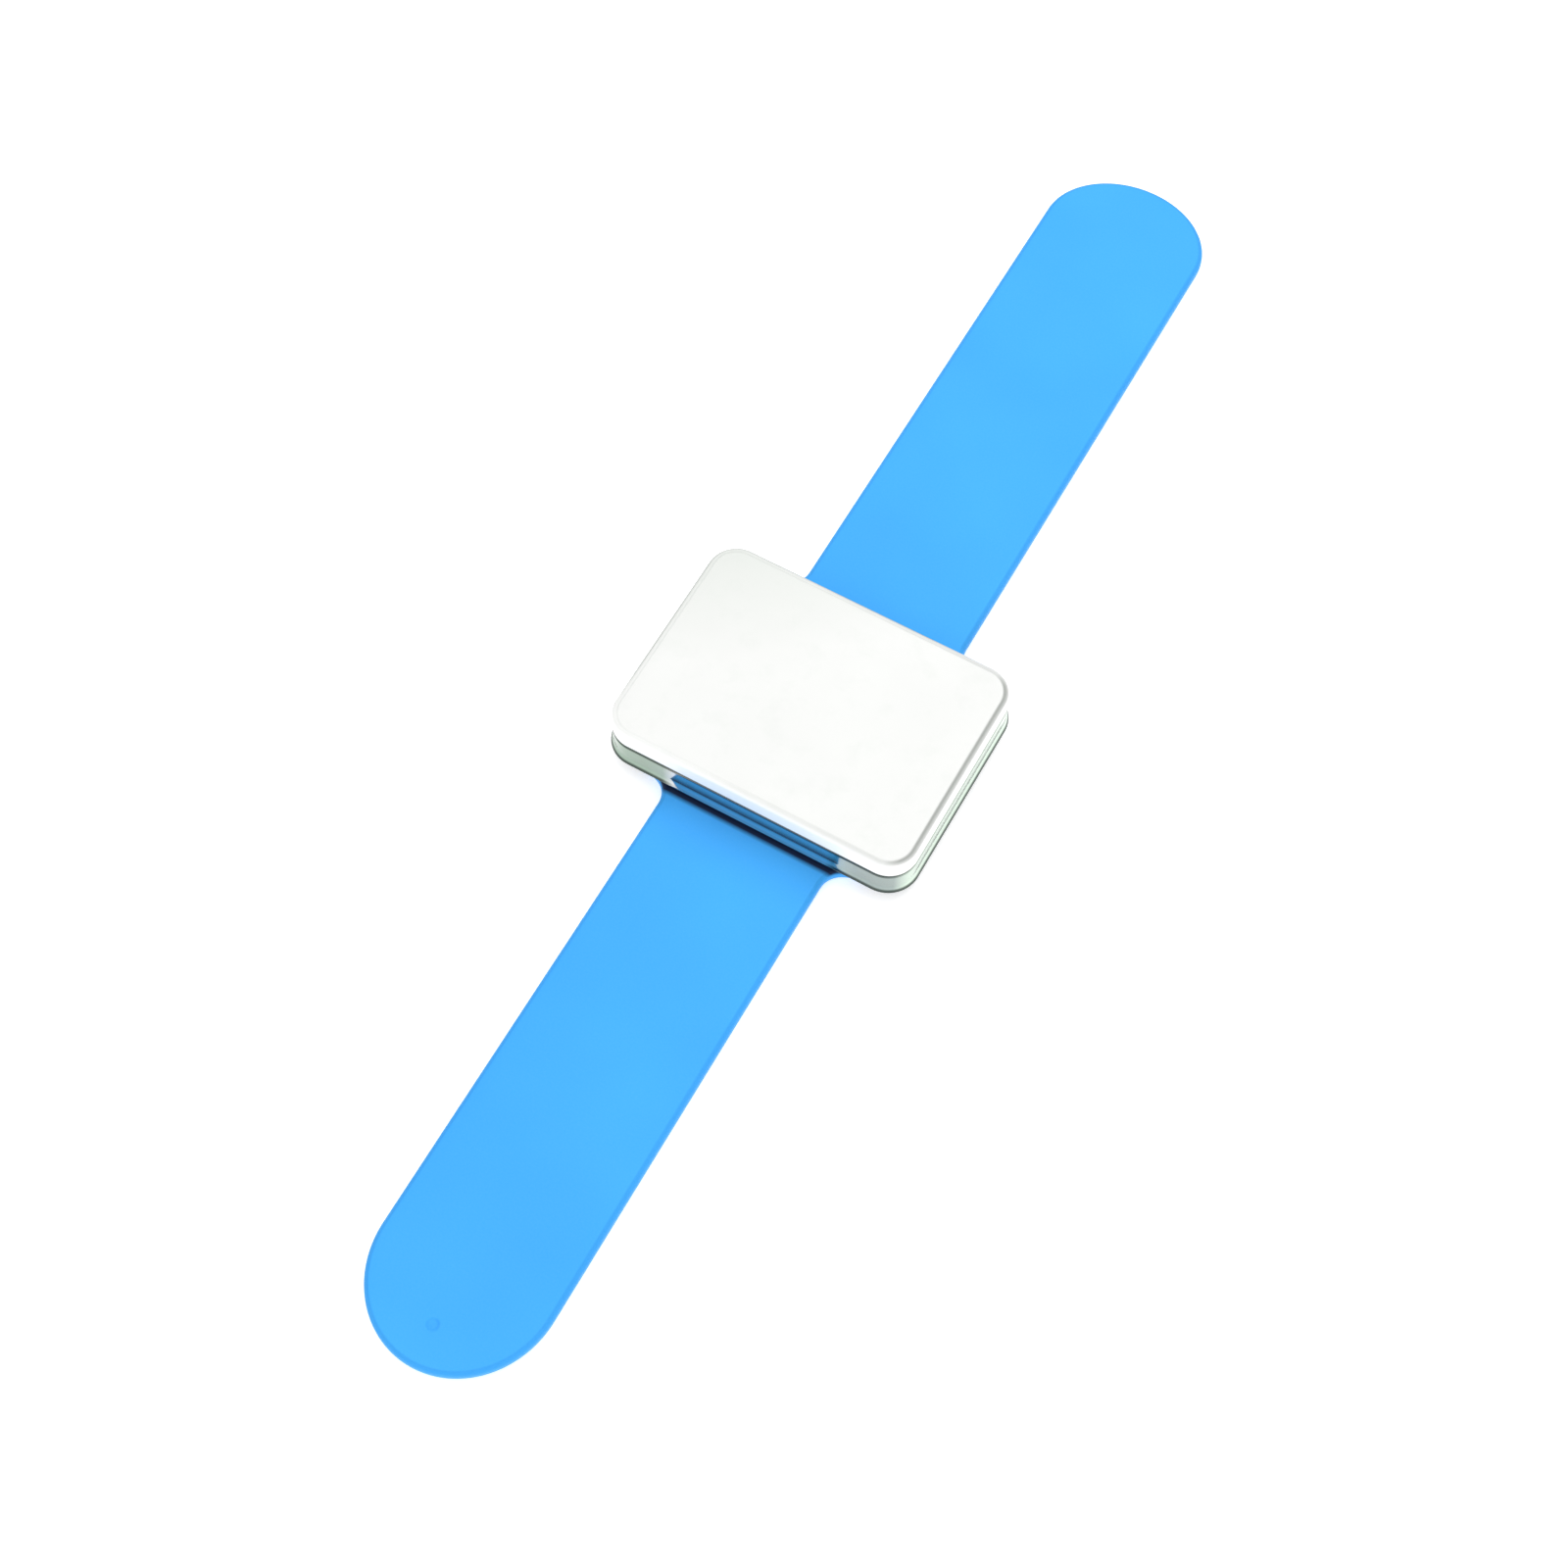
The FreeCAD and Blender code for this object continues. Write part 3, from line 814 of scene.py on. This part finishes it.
def spring_steel(name, bent):
    """Rolled blue-grey strip with rolling lines along Y and a thin film of oil."""
    n = Nodes(name)
    places = n.places(bent)
    lines = n.noise(n.stretched(places, (1800, 40, 400)), 1, 4, 0.6)
    film = n.noise(places, 45, 3)
    colour = n.mix(n.spread(film, 0.3, 0.7), srgb(118, 124, 134), srgb(148, 150, 154))
    n.set(Base_Color=colour, Metallic=1.0)
    n.set(Roughness=n.spread(lines, 0.3, 0.7, 0.22, 0.38))
    n.set(Normal=n.bump(lines, 0.003 * MM, 0.6))
    return n.material


def ferrite(name, bent):
    """Sintered ferrite: nearly black, with pale chipped grains and grinding lines."""
    n = Nodes(name)
    places = n.places(bent)
    grains = n.noise(places, 1600, 4, 0.7)
    grinding = n.noise(n.stretched(places, (40, 900, 900)), 1, 3)
    colour = n.mix(n.spread(grains, 0.5, 0.8), srgb(44, 44, 47), srgb(96, 96, 98))
    n.set(Base_Color=colour, Metallic=0.15)
    n.set(Roughness=n.spread(grinding, 0.3, 0.7, 0.5, 0.72))
    n.set(Normal=n.bump(grains, 0.02 * MM, 0.6))
    return n.material


def foam(name, bent):
    """Open-cell foam: dark, rough, with cells of about half a millimetre."""
    n = Nodes(name)
    places = n.places(bent)
    cells = n.add("TexVoronoi", Vector=places, Scale=1900.0).outputs["Distance"]
    clouds = n.noise(places, 120, 3)
    colour = n.mix(n.spread(cells, 0.1, 0.6), srgb(34, 34, 37), srgb(92, 92, 96))
    colour = n.mix(n.spread(clouds, 0.3, 0.7, 0, 0.25), colour, srgb(58, 56, 60))
    n.set(Base_Color=colour, Roughness=n.spread(clouds, 0.2, 0.8, 0.88, 0.97))
    n.set(Normal=n.bump(cells, 0.25 * MM, 0.8))
    return n.material


def adhesive(name, bent):
    """Foam-backed adhesive: off-white, slightly shiny where it is squeezed out."""
    n = Nodes(name)
    places = n.places(bent)
    bubbles = n.noise(places, 900, 3, 0.6)
    clouds = n.noise(places, 150, 3)
    colour = n.mix(n.spread(clouds, 0.3, 0.7), srgb(205, 204, 197), srgb(226, 225, 219))
    colour = n.mix(n.spread(bubbles, 0.55, 0.8, 0, 0.3), colour, srgb(180, 178, 168))
    n.set(Base_Color=colour, Roughness=n.spread(bubbles, 0.3, 0.7, 0.42, 0.66))
    n.set(Normal=n.bump(bubbles, 0.05 * MM, 0.6))
    return n.material


BUILDERS = {
    "silicone": silicone,
    "lid_metal": satin_steel,
    "case_metal": tin_plate,
    "spring_steel": spring_steel,
    "ferrite": ferrite,
    "foam": foam,
    "adhesive": adhesive,
}
SUBPARTS = {part["node"]: part["material_slot"] for part in frame["record"]["subparts"]}

materials = {slot: build(slot, bent=True) for slot, build in BUILDERS.items()}
cad_materials = {slot: build(f"{slot}_cad", bent=False) for slot, build in BUILDERS.items()}
for node_name, node in frame["nodes"].items():
    node.data.materials.clear()
    node.data.materials.append(cad_materials[SUBPARTS[node_name]])


# Build the object


def build_band():
    """The sleeve's and the strip's skins."""
    sleeve_plate = (BAND_LOW.z, BAND_HIGH.z, RIM_RADIUS)
    strip_plate = (STRIP_LOW.z, STRIP_HIGH.z, 0.0)
    centre_skin("sleeve", sleeve_plate, materials["silicone"])
    centre_skin("strip", strip_plate, materials["spring_steel"])
    for arm in ARMS:
        arm_skins(arm, "sleeve", sleeve_plate, materials["silicone"])
        arm_skins(arm, "strip", strip_plate, materials["spring_steel"])


build_band()
build_case()


# Studio

FLOOR_SIZE = 6.0
CAMERA_TARGET = Vector((0.61, -9.78, 0)) * MM
CAMERA_DISTANCE = 408.35 * MM
CAMERA_AZIMUTH = math.radians(29.52)
CAMERA_ELEVATION = math.radians(63.34)
CAMERA_LENS = 57.6
FLOOR_GLOW = 0.45
BULGE = 0.5 * MM  # how far a curled skin can stand out past its links
AMBIENT = 0.74  # level of the room as diffuse light
ROOM_HEIGHT = ((0.05, 0.45), (0.35, 1.0))  # (how far up, grey) at both ends of a ramp
ROOM_AWAY = ((0.6, 1.0), (0.92, 0.25))  # the same towards the dark side
DARK_SIDE = (0.85, 0.5, 0.17)

# Each light: where it stands, its two sides and its power in watts.
LIGHTS = {
    "key": ((0.0, 0.18, 0.42), (0.4, 0.4), 0.93),
    "fill": ((0.3, -0.55, 0.14), (0.4, 0.2), 0.85),
    "front": ((-0.05, -0.25, 0.5), (0.4, 0.3), 0.25),
}


def floor_material():
    """A pale painted floor with a faint grain."""
    n = Nodes("floor")
    places = n.places(bent=False)
    clouds = n.noise(places, 6, 3)
    n.set(Base_Color=n.mix(clouds, srgb(244, 244, 244), srgb(247, 247, 247)))
    n.set(Roughness=n.spread(clouds, 0.3, 0.7, 0.6, 0.7), Specular_IOR_Level=0.1)
    n.set(Emission_Color=srgb(255, 255, 255), Emission_Strength=FLOOR_GLOW)
    return n.material


def probe(body, place):
    """An empty on a body, by which the floor finds the lowest point of the object."""
    mark = bpy.data.objects.new(f"probe_{body}", None)
    bpy.context.scene.collection.objects.link(mark)
    mark.parent = frame["bodies"][body]
    mark.location = place
    return mark


def build_floor():
    """A floor that rests under the lowest probe at rest and at every pose."""
    half = FLOOR_SIZE / 2
    mesh = bpy.data.meshes.new("floor")
    corners = [(-half, -half, 0), (half, -half, 0), (half, half, 0), (-half, half, 0)]
    mesh.from_pydata(corners, [], [(0, 1, 2, 3)])
    mesh.materials.append(floor_material())
    floor = bpy.data.objects.new("floor", mesh)
    bpy.context.scene.collection.objects.link(floor)
    marks = [probe("centre", (0, 0, BAND_LOW.z))]
    for arm, side in ARMS.items():
        for hinge in CHAINS[arm]:
            for along in (hinge["along"], hinge["along"] + PITCH / 2):
                for height in (BAND_LOW.z, BAND_HIGH.z + BULGE):
                    marks.append(probe(hinge["child"], (0, side * along, height)))
        tip = CHAINS[arm][-1]["child"]
        marks.append(probe(tip, (0, side * BAND_REACH[arm], BAND_LOW.z)))
        marks.append(probe(tip, (0, side * BAND_REACH[arm], BAND_HIGH.z)))
    lowest = floor.driver_add("location", 2).driver
    lowest.type = "MIN"
    for number, mark in enumerate(marks):
        height = lowest.variables.new()
        height.name = f"height_{number}"
        height.type = "TRANSFORMS"
        height.targets[0].id = mark
        height.targets[0].transform_type = "LOC_Z"
        height.targets[0].transform_space = "WORLD_SPACE"


def aim(item, place, target):
    """Put a light or camera at a place and turn it to its target."""
    item.location = place
    item.rotation_mode = "QUATERNION"
    item.rotation_quaternion = (target - place).to_track_quat("-Z", "Y")


def soft_light(name, place, size, power):
    """A rectangular lamp, aimed at the case, that shows in no reflection."""
    data = bpy.data.lights.new(name, "AREA")
    data.shape = "RECTANGLE"
    data.size, data.size_y = size
    data.energy = power
    light = bpy.data.objects.new(name, data)
    light.visible_glossy = False
    bpy.context.scene.collection.objects.link(light)
    aim(light, Vector(place), Vector((0, 0, 0)))


def build_world():
    """A white room that darkens to the right and behind, seen only in the metal's reflections."""
    world = bpy.data.worlds.new("studio")
    world.use_nodes = True
    bpy.context.scene.world = world
    tree = world.node_tree
    background = tree.nodes["Background"]
    direction = tree.nodes.new("ShaderNodeTexCoord").outputs["Generated"]

    def ramp(value, stops):
        """A grey that eases from one stop to the other. A stop is (value, grey)."""
        made = tree.nodes.new("ShaderNodeValToRGB")
        made.color_ramp.interpolation = "EASE"
        first, last = made.color_ramp.elements
        for element, (position, grey) in zip((first, last), stops):
            element.position = position
            element.color = (grey, grey, grey, 1)
        tree.links.new(value, made.inputs["Fac"])
        return made.outputs["Color"]

    def towards(axis):
        """How far the ray points along an axis."""
        dot = tree.nodes.new("ShaderNodeVectorMath")
        dot.operation = "DOT_PRODUCT"
        tree.links.new(direction, dot.inputs[0])
        dot.inputs[1].default_value = axis
        return dot.outputs["Value"]

    height = ramp(towards((0, 0, 1)), ROOM_HEIGHT)
    away = ramp(towards(DARK_SIDE), ROOM_AWAY)
    room = tree.nodes.new("ShaderNodeMix")
    room.data_type = "RGBA"
    room.blend_type = "MULTIPLY"
    room.inputs[0].default_value = 1.0
    tree.links.new(height, room.inputs[6])
    tree.links.new(away, room.inputs[7])
    path = tree.nodes.new("ShaderNodeLightPath")

    def seen_by(kind, level, others):
        """One even level for a kind of ray, and another colour for the rest."""
        split = tree.nodes.new("ShaderNodeMix")
        split.data_type = "RGBA"
        tree.links.new(path.outputs[kind], split.inputs[0])
        tree.links.new(others, split.inputs[6])
        split.inputs[7].default_value = (level, level, level, 1)
        return split.outputs[2]

    light = seen_by("Is Diffuse Ray", AMBIENT, room.outputs[2])
    tree.links.new(seen_by("Is Camera Ray", 1.0, light), background.inputs["Color"])


def build_camera():
    """A camera in front of the case, to the right and well above it."""
    data = bpy.data.cameras.new("camera")
    data.lens = CAMERA_LENS
    data.clip_start, data.clip_end = 10 * MM, 20.0
    camera = bpy.data.objects.new("camera", data)
    bpy.context.scene.collection.objects.link(camera)
    flat = math.cos(CAMERA_ELEVATION)
    back = Vector(
        (
            math.sin(CAMERA_AZIMUTH) * flat,
            -math.cos(CAMERA_AZIMUTH) * flat,
            math.sin(CAMERA_ELEVATION),
        )
    )
    aim(camera, CAMERA_TARGET + back * CAMERA_DISTANCE, CAMERA_TARGET)
    bpy.context.scene.camera = camera


build_floor()
build_world()
for light_name, light_settings in LIGHTS.items():
    soft_light(light_name, *light_settings)
build_camera()
bpy.context.scene.view_settings.view_transform = "Standard"
